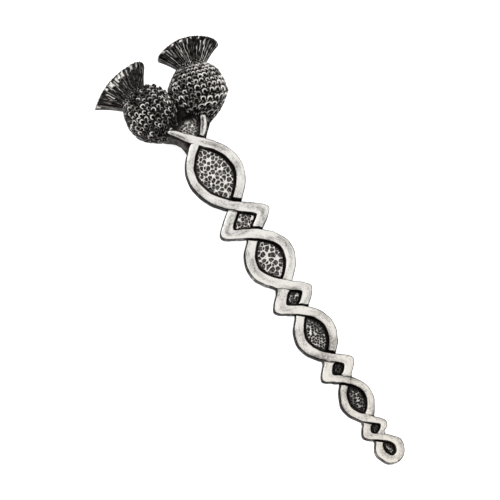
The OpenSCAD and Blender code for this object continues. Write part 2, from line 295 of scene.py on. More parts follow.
def ripple(x, y, size, seed, waves=7):
    """Gentle unevenness between about -1 and 1, with bumps about `size` mm across."""
    rng = np.random.default_rng(seed)
    total = np.zeros(np.broadcast(x, y).shape)
    for _ in range(waves):
        turn = rng.uniform(0, 2 * math.pi)
        pace = 2 * math.pi / (size * rng.uniform(1.2, 2.6))
        phase = rng.uniform(0, 2 * math.pi)
        total += np.sin((x * math.cos(turn) + y * math.sin(turn)) * pace + phase)
    return total / math.sqrt(waves)


def place(points):
    """Charted millimetres above the casting's back, to metres in the shared frame."""
    return (np.array(points, float) + SHIFT) * MM


def make_piece(name, points, faces, wear_and_painted_light, material, uv=None, sharp=None):
    """An object from charted points; its wear value is 0 in the black recesses and 1 where rubbed,
    and it also carries painted highlights and painted shade.
    """
    mesh = bpy.data.meshes.new(name)
    mesh.from_pydata(place(points).reshape(-1, 3).tolist(), [], faces)
    mesh.polygons.foreach_set("use_smooth", [True] * len(mesh.polygons))
    layer = mesh.attributes.new("wear_and_painted_light", "FLOAT", "POINT")
    layer.data.foreach_set("value", np.clip(wear_and_painted_light, 0, 1).astype(np.float32).ravel())
    if uv is not None:
        corners = np.empty(len(mesh.loops), dtype=np.int32)
        mesh.loops.foreach_get("vertex_index", corners)
        coords = mesh.uv_layers.new(name="along_and_across")
        coords.data.foreach_set("uv", uv[corners].astype(np.float32).ravel())
    mesh.materials.append(material)
    if sharp:
        mesh.set_sharp_from_angle(angle=math.radians(sharp))
    mesh.update()
    piece = bpy.data.objects.new(name, mesh)
    bpy.context.scene.collection.objects.link(piece)
    return piece


def grid_faces(rows, columns, wrap=False):
    """Quads of a grid with its points along the rows; wrap joins its last and first column."""
    index = np.arange(rows * columns).reshape(rows, columns)
    if wrap:
        index = np.hstack([index, index[:, :1]])
    corners = index[:-1, :-1], index[:-1, 1:], index[1:, 1:], index[1:, :-1]
    return np.stack(corners, axis=2).reshape(-1, 4).tolist()


def tube_faces(rows, columns, turned=False):
    """Faces of a tube whose rings are the rows, closed at its ends, or the same turned over."""
    last = (rows - 1) * columns
    ends = [list(range(columns))[::-1], list(range(last, last + columns))]
    faces = grid_faces(rows, columns, wrap=True) + ends
    return [face[::-1] for face in faces] if turned else faces


# Edges of the interlaced bands, as in the part's source

def curve(a, heading_a, pull_a, b, heading_b, pull_b, steps):
    """Points of a cubic curve from a up to b, by its heading and its handle's reach at each."""
    t = (np.arange(steps) / steps)[:, None]
    s = 1 - t
    p = a + heading_a * pull_a
    q = b - heading_b * pull_b
    return s ** 3 * a + 3 * s * s * t * p + 3 * s * t * t * q + t ** 3 * b


def gate(x, y, degrees, width):
    """Left edge, right edge and heading of a band that passes a point."""
    heading = unit(degrees)
    half = left_of(heading) * width / 2
    p = np.array([x, y])
    return p + half, p - half, heading


def crossing_gate(i, to_right):
    """The gate at crossing i of the band that leaves it to the right or to the left."""
    y, x, over, under, width = CROSSINGS[i]
    return gate(x, y, -over if to_right else under - 180, width)


def on_right(i, starts_right):
    """Whether a band passes panel i on its right side."""
    return (i % 2 == 0) == starts_right


def side_tip(row, right, outer):
    """Where an edge is farthest to the side, from the first six columns of PANELS or LOOP."""
    left_outer, left_inner, left_y, right_inner, right_outer, right_y = row[:6]
    if right:
        return np.array([right_outer if outer else right_inner, right_y])
    return np.array([left_outer if outer else left_inner, left_y])


def panel_edge(i, starts_right, side, steps):
    """One edge of a band past panel i; side 0 is on the left of its run."""
    right = on_right(i, starts_right)
    a = crossing_gate(i, right)
    b = crossing_gate(i + 1, not right)
    outer = (side == 0) == right
    tip = side_tip(PANELS[i], right, outer)
    fullness = PANELS[i][6] if outer else PANELS[i][7]
    la = np.linalg.norm(tip - a[side])
    lb = np.linalg.norm(b[side] - tip)
    return np.vstack([
        curve(a[side], a[2], la * LEAD, tip, DOWN, la * fullness, steps),
        curve(tip, DOWN, lb * fullness, b[side], b[2], lb * LEAD, steps),
    ])


def loop_edge(starts_right, side, steps):
    """One edge of a band round its half of the end loop, down to the foot."""
    right = on_right(len(PANELS), starts_right)
    a = crossing_gate(len(PANELS), right)
    outer = (side == 0) == right
    tip = side_tip(LOOP, right, outer)
    foot = np.array([LOOP_FOOT[0], LOOP_FOOT[1] if outer else LOOP_FOOT[2]])
    along = np.array([-1.0 if right else 1.0, 0.0])
    drop = np.linalg.norm(tip - a[side])
    turn = np.linalg.norm(foot - tip)
    return np.vstack([
        curve(a[side], a[2], drop * LEAD, tip, DOWN, drop * LOOP_LEAD, steps),
        curve(tip, DOWN, turn * LOOP_TURN, foot, along, turn * LOOP_TURN, steps),
        [foot],
    ])


def stalk_edge(starts_right, side, steps):
    """One edge of a band's stalk, down to the first crossing."""
    a = gate(*STALKS[0 if starts_right else 1][:4])
    b = crossing_gate(0, starts_right)
    length = np.linalg.norm(b[side] - a[side])
    return curve(a[side], a[2], length * LEAD, b[side], b[2], length * LEAD, steps)


def band_edge(starts_right, side, steps):
    """One edge of a whole band, from its stalk to the loop's foot."""
    parts = [stalk_edge(starts_right, side, steps)]
    parts += [panel_edge(i, starts_right, side, steps) for i in range(len(PANELS))]
    parts.append(loop_edge(starts_right, side, steps))
    return np.vstack(parts)


# Bands

# Section of a band: walls that lean in by the draft, and a bevel that turns onto the top
DRAFT = 0.1
BEVEL_R = 0.24
WALL_SHARES = (0.0, 0.3, 0.55, 0.75)
WALL_WEAR = 0.13
BEVEL_ANGLES = (0, 25, 50, 75)
BEVEL_WEAR = (0.1, 0.05, 0.16, 0.75)
TOP_POINTS = 13
# How far the top is crowned, and the share of that which raises it
TOP_CROWN = 0.07
CROWN_LEVEL = 0.6
# Points of a band's edge between two turns, and how many more the slimming lasts
BAND_STEPS = 44
SLIM_PAST = 16
# Share of the way to the first crossing, and the stalk's share of the band's width there
SLIMMING = (
    ((0, 0.3, 1.0), (1.05, 1.18, 1.03)),
    ((0, 0.25, 0.6, 0.8, 1.0, 1.16), (1.35, 1.32, 0.95, 0.62, 0.5, 1.0)),
)
# Share of that way, and how far the right stalk bows out there
BOW = ((0, 0.4, 0.75, 1.0, 1.15), (0.1, 0.4, 0.65, 0.3, 0))
BOW_TOWARDS = (0.85, -0.53)
# Hand-worked edges and tops. Columns: height, size across, seed
LEFT_WAVE = (0.045, 1.7, 21)
RIGHT_WAVE = (0.045, 1.7, 22)
TOP_WAVES = ((0.022, 2.2, 11), (0.012, 0.8, 12))
# The stalks' rounded ends
CAP_R = 0.8
CAP_LEAST = 0.03
CAP_DROP = 0.5
# Dark line down the band from the left: how dark, how far past its stalk, reach, share across
TARNISH = (0.3, 4, 3.2, 0.22)
# Groove down the stalks: depth, where it runs across the stalk, share across
GROOVE = (0.12, 0.45, 0.13)


def beneath(p, starts_right):
    """For each crossing where this band lies beneath: distance of points p from the band on
    top, whether they are near it, and width, depth and flare from GAPS."""
    for i, ((y, x, over, _, width), row) in enumerate(zip(CROSSINGS, GAPS)):
        if on_right(i, starts_right):
            continue
        rel = p - (x, y)
        off = rel @ left_of(unit(-over))
        near = np.linalg.norm(rel, axis=-1) < CROSSING_REACH
        gap_row = np.where((off > 0)[..., None], row[:3], row[3:])
        yield np.abs(off) - width / 2, near, *np.moveaxis(gap_row, -1, 0)


def gap_drop(p, starts_right):
    """How far the top of a band sinks at charted points p, where it meets the one above it."""
    drop = np.zeros(p.shape[:-1])
    for gap, near, width, depth, _ in beneath(p, starts_right):
        sunk = depth * (1 - smooth(gap, width, width + GAP_EASE))
        sunk = np.where(gap < -LAP, np.maximum(sunk, LAP_DEPTH), sunk)
        drop = np.maximum(drop, np.where(near, sunk, 0))
    return drop


def flare(p, starts_right):
    """How far an edge at charted points p is pushed out beside the band on top."""
    push = np.zeros(p.shape[:-1])
    for gap, near, _, _, full in beneath(p, starts_right):
        fading = full * np.clip(1 - gap / FLARE_REACH, 0, 1) ** 2
        pushed = np.where(gap < 0, full, fading)
        push = np.maximum(push, np.where(near, pushed, 0))
    return push


def nudged(p):
    """How far an edge at charted points p is pushed out by bulges and dents."""
    push = np.zeros(p.shape[:-1])
    for x, y, reach, out in NUDGES:
        away = np.linalg.norm(p - (x, y), axis=-1)
        push += out * np.exp(-(away / reach) ** 2)
    return push


def creased(p):
    """1 in the creases and 0 away from them, at charted points p."""
    found = np.zeros(p.shape[:-1])
    for ax, ay, bx, by in CREASES:
        start = np.array([ax, ay])
        run = np.array([bx, by]) - start
        share = np.clip((p - start) @ run / (run @ run), 0, 1)
        away = np.linalg.norm(p - start - share[..., None] * run, axis=-1)
        found = np.maximum(found, np.exp(-(away / CREASE_WIDTH) ** 2))
    return found


def to_side(edge):
    """Unit normals of a charted line, to the left of its run."""
    run = np.gradient(edge, axis=0)
    run /= np.maximum(np.linalg.norm(run, axis=1, keepdims=True), 1e-9)
    return left_of(run)


def waved(edge, height, size, seed):
    """A charted line with a hand-worked wave."""
    return edge + to_side(edge) * height * ripple(edge[:, 0], edge[:, 1], size, seed)[:, None]


def band_outline(starts_right):
    """Left and right edge of a whole band as worked: slimmed, bowed, flared and waved."""
    left = band_edge(starts_right, 0, BAND_STEPS)
    right = band_edge(starts_right, 1, BAND_STEPS)
    way = np.arange(len(left)) / BAND_STEPS
    slim = np.interp(way, *SLIMMING[0 if starts_right else 1])
    slim[BAND_STEPS + SLIM_PAST:] = 1
    middle = (left + right) / 2
    left = middle + (left - middle) * slim[:, None]
    right = middle + (right - middle) * slim[:, None]
    if not starts_right:
        bow = np.outer(np.interp(way, *BOW), BOW_TOWARDS)
        left += bow
        right += bow
    left = left + to_side(left) * (flare(left, starts_right) + nudged(left))[:, None]
    right = right - to_side(right) * (flare(right, starts_right) + nudged(right))[:, None]
    return waved(left, *LEFT_WAVE), waved(right, *RIGHT_WAVE)


def band_section(width):
    """Section of a band from its right foot to its left foot: distance from the right edge at
    each width, share of the wall's height, which is 1 past the wall, depth below the top, and
    wear."""
    side = [(DRAFT * share, share, 0.0, WALL_WEAR) for share in WALL_SHARES]
    for degrees, worn in zip(BEVEL_ANGLES, BEVEL_WEAR):
        a = math.radians(degrees)
        side.append((DRAFT + BEVEL_R * (1 - math.cos(a)), 1, BEVEL_R * (1 - math.sin(a)), worn))
    inner = DRAFT + BEVEL_R
    across = [np.full(len(width), row[0]) for row in side]
    across += [inner + (width - 2 * inner) * share for share in np.linspace(0, 1, TOP_POINTS)]
    across += [width - row[0] for row in reversed(side)]
    columns = side + [(inner, 1, 0.0, 1.0)] * TOP_POINTS + side[::-1]
    _, share, depth, worn = np.array(columns).T
    return np.stack(across, axis=1), share, depth, worn


def build_band(name, starts_right, material):
    """One of the two bands, from its stalk down to the loop's foot."""
    left, right = band_outline(starts_right)
    middle = (left + right) / 2
    along = np.concatenate([[0], np.cumsum(np.linalg.norm(np.diff(middle, axis=0), axis=1))])
    width = np.linalg.norm(left - right, axis=1)
    to_left = (left - right) / width[:, None]
    stalk_rise, groove_wear = STALKS[0 if starts_right else 1][4:]
    way = along / along[BAND_STEPS]
    cap = np.sqrt(np.clip(1 - (1 - along / CAP_R) ** 2, CAP_LEAST, 1))
    cap[along > CAP_R] = 1

    across, wall_share, depth, worn = band_section(width)
    level = across / width[:, None]
    half = width[:, None] / 2
    shrunk = half + (across - half) * cap[:, None]
    flat = right[:, None] + to_left[:, None] * shrunk[..., None]
    drop = gap_drop(flat, starts_right)
    crease = creased(flat)
    rise = stalk_rise * (1 - smooth(way, 0.0, 1.0))
    top = BAND_H + rise[:, None] + TOP_CROWN * (4 * level * (1 - level) - CROWN_LEVEL) - drop
    for height, size, seed in TOP_WAVES:
        top += height * ripple(flat[..., 0], flat[..., 1], size, seed)
    top -= (1 - cap[:, None]) * CAP_DROP
    top -= CREASE_DEPTH * crease
    z = np.where(wall_share < 1, (top - BEVEL_R) * wall_share, top - depth)
    wear_and_painted_light = worn * (1 - smooth(drop, 0.1, 0.45)) * (1 - 0.22 * crease)
    if starts_right:
        dark, past, reach, share = TARNISH
        tarnish = dark * np.exp(-((along - along[BAND_STEPS] - past) / reach) ** 2)[:, None]
        wear_and_painted_light -= tarnish * np.exp(-((level - 0.5) / share) ** 2)
    groove_depth, groove_at, share = GROOVE
    groove = np.exp(-((level - groove_at) / share) ** 2)
    groove *= ((1 - smooth(way, 0.35, 0.75)) * smooth(along, 0.3, 0.8))[:, None]
    z -= groove_depth * groove
    wear_and_painted_light *= 1 - groove_wear * groove

    points = np.concatenate([flat, z[..., None]], axis=2)
    uv = np.stack([np.repeat(along, across.shape[1]), across.ravel()], axis=1)
    faces = tube_faces(*across.shape, turned=True)
    return make_piece(name, points, faces, wear_and_painted_light, material, uv, sharp=50)


# Punched floors of the panels

# Rows of pits and their shifts as shares of the spacing, share of pits left out, and the
# pits' least and greatest size
PIT_ROWS = 0.87
PITS_MISSING = 0.1
PIT_SHIFT = 0.3
PIT_SIZES = (0.55, 1.35)
# Where a ridge between two pits ends, and where the flat between far pits starts
RIDGE_ENDS = (0.1, 0.38)
FLAT_STARTS = (0.46, 0.62)
# Nub in the middle of a pit: height, radius
NUB = (0.45, 0.14)
# Floors: spacing of their points, how far they run under the bands, least half width, how far
# they end from the crossings and past the loop, depth of the pits, how far they lie lower
FLOOR_STEP = 0.07
FLOOR_UNDER = 0.5
FLOOR_LEAST = 0.3
FLOOR_SHORT = 0.4
LOOP_FLOOR_PAST = 0.3
PIT_DEPTH = 0.42
FLOOR_SUNK = 0.12


def inner_edge(i, right, steps=40):
    """Inner edge of panel i, or of the loop, on its left or right side, with y rising."""
    which = (on_right(i, right), 1 if right else 0, steps)
    edge = panel_edge(i, *which) if i < len(PANELS) else loop_edge(*which)
    return edge[np.argsort(edge[:, 1])]


def pit_centres(x0, x1, y0, y1, pitch, seed):
    """Staggered rows of pits over a rectangle: x, y, size, and how high the nub is."""
    rng = np.random.default_rng(seed)
    row = pitch * PIT_ROWS
    for r in range(int((y1 - y0) / row) + 3):
        for c in range(int((x1 - x0) / pitch) + 3):
            if rng.uniform() < PITS_MISSING:
                continue
            x = x0 + (c - 0.5 + (r % 2) / 2) * pitch + rng.uniform(-PIT_SHIFT, PIT_SHIFT) * pitch
            y = y0 + (r - 1) * row + rng.uniform(-PIT_SHIFT, PIT_SHIFT) * pitch
            yield x, y, rng.uniform(*PIT_SIZES), rng.uniform(0, 1)


def punched(x, y, pitch, seed):
    """Height in 0..1 over a field of punched pits, how much of a ridge each point is, and how
    much of a nub."""
    best = np.full(x.shape, 9.0)
    second = np.full(x.shape, 9.0)
    nub = np.zeros(x.shape)
    nub_height, nub_r = NUB
    for cx, cy, size, kind in pit_centres(x.min(), x.max(), y.min(), y.max(), pitch, seed):
        d = np.hypot(x - cx, y - cy) / (pitch * size)
        closer = d < best
        second = np.where(closer, best, np.minimum(second, d))
        nub = np.where(closer, nub_height * kind * np.exp(-(d / nub_r) ** 2), nub)
        best = np.where(closer, d, best)
    ridge = 1 - smooth(second - best, *RIDGE_ENDS)
    ridge = np.maximum(ridge, smooth(best, *FLAT_STARTS))
    return np.maximum(ridge, nub), ridge, nub


def with_back(points, wear_and_painted_light):
    """A grid with one more column on each side, down near the casting's back."""
    sides = points[:, [0, -1]]
    sides[..., 2] = NEAR_BACK
    points = np.concatenate([sides[:, :1], points, sides[:, 1:]], axis=1)
    return points, np.pad(wear_and_painted_light, ((0, 0), (1, 1)))


def build_floor(name, i, material):
    """Punched floor of panel i, or of the loop."""
    left = inner_edge(i, False)
    right = inner_edge(i, True)
    in_loop = i == len(PANELS)
    top = CROSSINGS[i][0] - FLOOR_SHORT
    bottom = LOOP_FOOT[2] - LOOP_FLOOR_PAST if in_loop else CROSSINGS[i + 1][0] + FLOOR_SHORT
    ys = np.arange(bottom, top, FLOOR_STEP)
    xl = np.interp(ys, left[:, 1], left[:, 0])
    xr = np.interp(ys, right[:, 1], right[:, 0])
    keep = xr - xl > -2 * FLOOR_LEAST
    ys, xl, xr = ys[keep], xl[keep], xr[keep]
    columns = max(12, int(((xr - xl).max() + 2 * FLOOR_UNDER) / FLOOR_STEP))
    share = np.linspace(0, 1, columns)
    low = np.minimum(xl - FLOOR_UNDER, (xl + xr) / 2 - FLOOR_LEAST)
    high = np.maximum(xr + FLOOR_UNDER, (xl + xr) / 2 + FLOOR_LEAST)
    x = low[:, None] + (high - low)[:, None] * share
    y = np.repeat(ys[:, None], columns, axis=1)

    pitch, rubbed = FLOORS[i]
    height, ridge, nub = punched(x, y, pitch, 100 + i)
    margin = np.minimum(x - xl[:, None], xr[:, None] - x) * 0.8
    inside = smooth(margin, 0.16, 0.45)
    z = FLOOR_H - FLOOR_SUNK + PIT_DEPTH * height * inside
    z += 0.04 * ripple(x, y, 1.5, 31)
    # rubbed on the ridges, dark along the bands, with a little of the pits' own light
    patchy = np.clip(0.85 + 0.14 * ripple(x, y, 3.0, 40 + i), 0.35, 1.1)
    rough = 1 + 0.3 * ripple(x, y, 0.35, 50 + i)
    wear_and_painted_light = rubbed * patchy * rough * inside * np.maximum(ridge, 1.1 * nub)
    wear_and_painted_light *= 0.72 + 0.36 * smooth(margin, 0.3, 1.5)
    pits = 0.16 * rough * smooth(margin, 0.02, 0.2) + 0.12 * rubbed * rough * inside
    wear_and_painted_light = np.maximum(wear_and_painted_light, pits)
    if in_loop:
        # painted highlight in the loop's floor
        gx, gy, slope, half_width, half_height, glow = LOOP_PAINTED_HIGHLIGHT
        highlight_spread = np.hypot((x - gx + slope * (y - gy)) / half_width, (y - gy) / half_height)
        wear_and_painted_light = np.maximum(wear_and_painted_light, glow * (1 - smooth(highlight_spread, 0.6, 1.1)))
    points, wear_and_painted_light = with_back(np.stack([x, y, z], axis=2), wear_and_painted_light)
    return make_piece(name, points, tube_faces(*wear_and_painted_light.shape), wear_and_painted_light, material, sharp=60)


# Thistle bulbs

# Scales: spacing of their rows, and radius and thickness of a crescent, as shares of their
# spacing; then height of a crescent and depth of the pit in it
SCALE_ROWS = 0.86
CRESCENT_R = 0.35
CRESCENT_W = 0.14
CRESCENT_H = 0.24
SCALE_PIT = 0.34


def eased(values, reach=12):
    """Values along a line, smoothed over so many neighbours on each side."""
    kernel = np.hanning(2 * reach + 1)
    kernel /= kernel.sum()
    return np.convolve(np.pad(values, reach, mode="edge"), kernel, mode="valid")


def horseshoe(x, y, open_to):
    """A crescent that is thick towards +y and open towards -y, and the pit inside it."""
    r = np.hypot(x, y)
    high = y / np.maximum(r, 1e-6)
    body = CRESCENT_W * (0.55 + 0.45 * smooth(high, -0.2, 0.9))
    line = np.exp(-((r - CRESCENT_R) / body) ** 2) * smooth(high, open_to, open_to + 0.5)
    pit = 1 - smooth(r, CRESCENT_R - 1.6 * CRESCENT_W, CRESCENT_R - 0.5 * CRESCENT_W)
    return line, pit * smooth(y, -0.9 * CRESCENT_R, -0.1)


def scale_maps(name, v, angle, mean):
    """Staggered rows of scales over a bulb's grid: how much of a crescent and of a pit each
    point is, and how bright it is, rubbed on the crests and with painted light and shade by its
    place on the bulb."""
    size, jitter, spin = BULBS[name][3:6]
    least, gain, full_at, fade = SCALE_PAINTED_LIGHT[name]
    rng = np.random.default_rng(len(name) * 7)
    crescents, pits, glow = np.zeros((3, len(v), len(angle)))
    row_v = v[0] + 0.7
    row = 0
    while row_v < v[-1] + 0.4:
        pitch = size * np.interp(row_v, SCALE_SIZES_AT, SCALE_SIZES[name])
        count = max(2, round(math.pi * np.interp(row_v, v, mean) / pitch))
        for c in range(count + 1):
            ox = (c + 0.5 * (row % 2)) / count * math.pi + rng.uniform(-jitter, jitter) / count
            oy = row_v + rng.uniform(-jitter, jitter) * 0.4 * pitch
            big = pitch * rng.uniform(1 - jitter * 0.7, 1 + jitter * 0.4)
            bright = 0.24 + 0.83 * rng.uniform() ** 1.4
            # painted light and shade by the scale's place on the bulb, over its rubbed brightness
            bright *= least + gain * math.exp(-((oy - full_at) / fade) ** 2)
            bright *= np.interp(ox, *PAINTED_LIGHT_ROUND[name]) * np.interp(oy, *PAINTED_SHADE_ALONG[name])
            flat = np.interp(oy, *FLATNESS[name])
            turn = rng.uniform(-spin, spin)
            open_to = rng.uniform(-1.0, -0.4)
            dx = (angle - ox) * mean[:, None]
            dy = np.repeat(v[:, None] - oy, len(angle), axis=1)
            near = (np.abs(dx) < big) & (np.abs(dy) < big)
            lx = dx[near] * math.cos(turn) + dy[near] * math.sin(turn)
            ly = dy[near] * math.cos(turn) - dx[near] * math.sin(turn)
            line, pit = horseshoe(lx / big * (0.5 + 0.5 * flat), ly / big / flat, open_to)
            crescents[near] = np.maximum(crescents[near], line)
            glow[near] = np.maximum(glow[near], line * bright)
            pits[near] = np.maximum(pits[near], pit)
        row_v += pitch * SCALE_ROWS
        row += 1
    return crescents, pits, glow


def build_bulb(name, material):
    """Half-round bulb with a flat back, covered in scales."""
    cx, cy, lean, *_, rubbed, fleck_glow, tips = BULBS[name]
    at, to_left, to_right = np.array(BULB_OUTLINES[name]).T
    v = np.linspace(at[0], at[-1], BULB_GRID[0])
    angle = np.linspace(0, math.pi, BULB_GRID[1])
    half_left = eased(np.interp(v, at, to_left)) - SCALE_ROOM
    half_right = eased(np.interp(v, at, to_right)) - SCALE_ROOM
    mean = (half_left + half_right) / 2
    depth = np.minimum(mean, BULB_FULL) * BULB_RELIEF
    half = np.where(angle < math.pi / 2, half_right[:, None], half_left[:, None])
    along = np.repeat(v[:, None], len(angle), axis=1)
    arc = angle * mean[:, None]
    base = np.stack([half * np.cos(angle), along, depth[:, None] * np.sin(angle)], axis=2)
    normal = np.cross(np.gradient(base, axis=1), np.gradient(base, axis=0))
    normal /= np.maximum(np.linalg.norm(normal, axis=2, keepdims=True), 1e-9)
    normal = np.where((normal * base).sum(2, keepdims=True) < 0, -normal, normal)

    crescents, pits, glow = scale_maps(name, v, angle, mean)
    lift = CRESCENT_H * crescents - SCALE_PIT * pits * (1 - crescents)
    lift += 0.03 * ripple(arc, along, 0.45, 61) + 0.05 * ripple(arc, along, 2.4, 62)
    lift *= 0.35 + 0.65 * smooth(np.minimum(angle, math.pi - angle), 0.1, 0.6)
    ragged = np.clip(ripple(arc, along, 0.5, 65), 0, 1.4) ** 1.6
    by_crown = 1 - smooth(angle, 0.25, 0.6)
    lift += tips * ragged * by_crown * smooth(v, 1.5, 2.5)[:, None]
    x, y, z = np.moveaxis(base + normal * lift[..., None], 2, 0)
    turn = math.radians(-lean)
    points = np.stack([
        x * math.cos(turn) - y * math.sin(turn) + cx,
        x * math.sin(turn) + y * math.cos(turn) + cy,
        np.maximum(z, 0.01),
    ], axis=2)

    nicks = 0.75 + 0.25 * smooth(ripple(arc, along, 0.5, 64), -0.8, 0.4)
    # rubbed crests, with the painted light and shade of the scales on them
    wear_and_painted_light = rubbed * np.clip(glow * 1.3, 0, 1) * nicks
    flecks = smooth(ripple(arc, along, 0.32, 63), 0.2, 1.3)
    wear_and_painted_light = np.maximum(wear_and_painted_light, fleck_glow * flecks * (1 - pits))
    return make_piece(name, points, tube_faces(*wear_and_painted_light.shape, turned=True), wear_and_painted_light, material)


# Fluted crowns

FLUTE_POINTS = 20
CROWN_ROWS = 120
FLUTE_WIDTHS = (0.55, 1.5)
RIDGE_WIDTH = 0.16
FINE_WIDTH = 0.2
FLUTE_RELIEF = 0.4


def fan_points(ax, ay, rho, angle, z):
    """Points at radius rho from an apex, at an angle to the right of +Y."""
    return np.stack([ax + rho * np.sin(angle), ay + rho * np.cos(angle), z], axis=-1)


def painted_crown_highlights(name, degrees, reach, breaks, blots):
    """How bright a crown's painted highlights are over its grid, with uneven edges."""
    painted_highlights = np.zeros(degrees.shape)
    uneven = reach + 0.02 * blots
    for at, half, low, high, glow in CROWN_PAINTED_HIGHLIGHTS[name]:
        spot = np.exp(-np.abs((degrees - at + 0.6 * breaks) / half) ** 3)
        spot *= smooth(uneven, low - 0.03, low + 0.03)
        spot *= 1 - smooth(uneven, high - 0.02, high + 0.02)
        painted_highlights = np.maximum(painted_highlights, glow * spot)
    return painted_highlights * (0.82 + 0.28 * smooth(breaks, -1.2, 0.2))


def build_crown(name, material):
    """Fluted crown: a domed fan from the bulb's neck to its rim, and the wall beneath."""
    ax, ay, inner, flutes, rubbed, fade, bar_width, least = CROWNS[name]
    rims = np.array(CROWN_RIMS[name])
    start, end = rims[0, 0], rims[-1, 0]
    share = np.linspace(0, 1, flutes * FLUTE_POINTS)
    reach, across = np.meshgrid(np.linspace(0, 1, CROWN_ROWS), share, indexing="ij")
    off = 1 - 2 * share
    waist = 1 - 0.04 * np.sin(math.pi * reach[:, :1])
    degrees = (start + end) / 2 + (end - start) / 2 * off * waist
    past_bar = degrees - degrees[:, -1:]
    sway, breaks, blots, beads, scratches = (
        ripple(across * scale_x, reach * scale_y, size, seed)
        for scale_x, scale_y, size, seed in CROWN_RIPPLES
    )

    # uneven flutes, each with a ridge down its middle and finer lines beside it
    rng = np.random.default_rng(flutes + len(name))
    edges = np.cumsum(np.concatenate([[0], rng.uniform(*FLUTE_WIDTHS, flutes)]))
    edges /= edges[-1]
    which = np.clip(np.searchsorted(edges, share, side="right") - 1, 0, flutes - 1)
    local = (share - edges[which]) / (edges[which + 1] - edges[which])
    strength, bright, tip = (rng.uniform(low, 1, flutes)[which] for low in (0.5, 0.1, 0))
    ridge = np.exp(-((local - 0.5 - 0.16 * sway) / RIDGE_WIDTH) ** 2)
    fine = np.exp(-((np.mod(local * 2 + 0.16 * sway, 1) - 0.5) / FINE_WIDTH) ** 2)
    bead = smooth(beads, 0.2, 0.9) * (1 - smooth(reach, 0.16, 0.42))
    # painted highlights, which also raise the relief beneath them
    painted_highlights = painted_crown_highlights(name, degrees, reach, breaks, blots)
    bar = 1 - smooth(past_bar, bar_width - 0.8, bar_width)
    gap = np.exp(-((past_bar - bar_width - 0.6) / 0.9) ** 2)

    relief = ridge * strength * (0.45 + 0.55 * smooth(reach, 0.02, 0.35))
    relief += 0.25 * fine * (1 - ridge)
    relief = np.maximum(relief, np.minimum(painted_highlights, 1.1)) * (1 - bar) + 0.7 * bar - 0.5 * gap
    dome = 0.4 + 0.6 * np.sqrt(1 - 0.9 * off * off)
    up = CROWN_H * np.interp(reach, *CROWN_BODY) * dome + FLUTE_RELIEF * relief - 0.3
    up += 0.02 * breaks + 0.2 * bead - 0.3 * smooth(reach, 0.97, 1.0) ** 2
    rim = np.interp(degrees[-1], rims[:, 0], rims[:, 1])
    rho = inner + (rim - inner) * reach
    rho -= 0.05 * (1 - ridge) * tip * smooth(reach, 0.9, 1.0)
    angle = np.radians(degrees)
    front = fan_points(ax, ay, rho, angle, np.maximum(up, 0.05))
    rows = [front]
    for drop, pull, _ in CROWN_WALL:
        z = np.maximum(front[-1:, :, 2] - drop, NEAR_BACK)
        rows.append(fan_points(ax, ay, rho[-1:] - 0.02 - pull, angle[-1:], z))

    # the ridges are rubbed near the neck and fade towards the rim
    lines = ridge * (0.15 + 0.85 * bright) * (0.5 + 0.6 * smooth(breaks, -0.7, 0.5))
    lines *= smooth(reach, 0.1, 0.3) * (1 - 0.6 * smooth(reach, fade, fade + 0.2))
    thin = 0.3 * fine * smooth(breaks, -0.3, 0.9) * smooth(reach, 0.15, 0.4)
    lines = np.maximum(rubbed * np.maximum(lines, thin), 1.4 * bead)
    lines = np.maximum(lines, least * (1 + 0.8 * blots)) * (1 - 0.9 * gap)
    # rubbed ridges, with the painted highlights over them
    wear_and_painted_light = np.maximum(lines * (1 - bar), painted_highlights)
    wear_and_painted_light = np.maximum(wear_and_painted_light, bar * (0.34 + 0.14 * scratches))
    edge = smooth(reach, 0.965, 0.98)
    wear_and_painted_light = wear_and_painted_light * (1 - edge) + edge * (0.52 + 0.14 * breaks)
    wall = [np.full(share.shape, worn) for _, _, worn in CROWN_WALL]
    points, wear_and_painted_light = with_back(np.concatenate(rows), np.vstack([wear_and_painted_light, wall]))
    faces = tube_faces(*wear_and_painted_light.shape, turned=True)
    return make_piece(name, points, faces, wear_and_painted_light, material, sharp=70)


# Web between the stalks

WEB_STEP = 0.08
WEB_COLUMNS = 140
# Pebbled middle: x, y, half width, half height, spacing of the pits
WEB_MIDDLE = (0.1, 31.9, 2.6, 2.3, 0.7)


def build_web(material):
    """Domed web, pebbled in the middle and streaked round it, with a ledge on the left."""
    chart = np.array(WEB)
    ys = np.arange(chart[0, 0], chart[-1, 0], WEB_STEP)
    xl = np.interp(ys, chart[:, 0], chart[:, 1])[:, None]
    xr = np.interp(ys, chart[:, 0], chart[:, 2])[:, None]
    x = xl + (xr - xl) * np.linspace(0, 1, WEB_COLUMNS)
    y = np.repeat(ys[:, None], WEB_COLUMNS, axis=1)
    mx, my, half_width, half_height, pitch = WEB_MIDDLE
    height, ridge, _ = punched(x, y, pitch, 200)
    middle = 1 - smooth(np.hypot((x - mx) / half_width, (y - my) / half_height), 0.2, 1.2)
    ledge = 1 - smooth(x, -2.8, -1.4)
    # the streaks stop beneath the bulbs, where the web is left dark as painted shade
    streak = smooth(ripple(x * 3, y * 0.8, 0.9, 201), -0.5, 1.2) * smooth(34.2 - y, 0, 1)
    streak *= 1 - 0.6 * ledge
    z = 0.62 + 1.1 * smooth(np.minimum(x - xl, xr - x), 0, 1.6) + 0.35 * height * middle
    wear_and_painted_light = np.maximum(1.05 * middle * (0.35 + 0.65 * ridge), 0.45 * streak)
    wear_and_painted_light = np.maximum(wear_and_painted_light, 0.28 * ledge)
    points, wear_and_painted_light = with_back(np.stack([x, y, z], axis=2), wear_and_painted_light)
    return make_piece("stalk_web", points, tube_faces(*wear_and_painted_light.shape), wear_and_painted_light, material, sharp=50)


# Materials

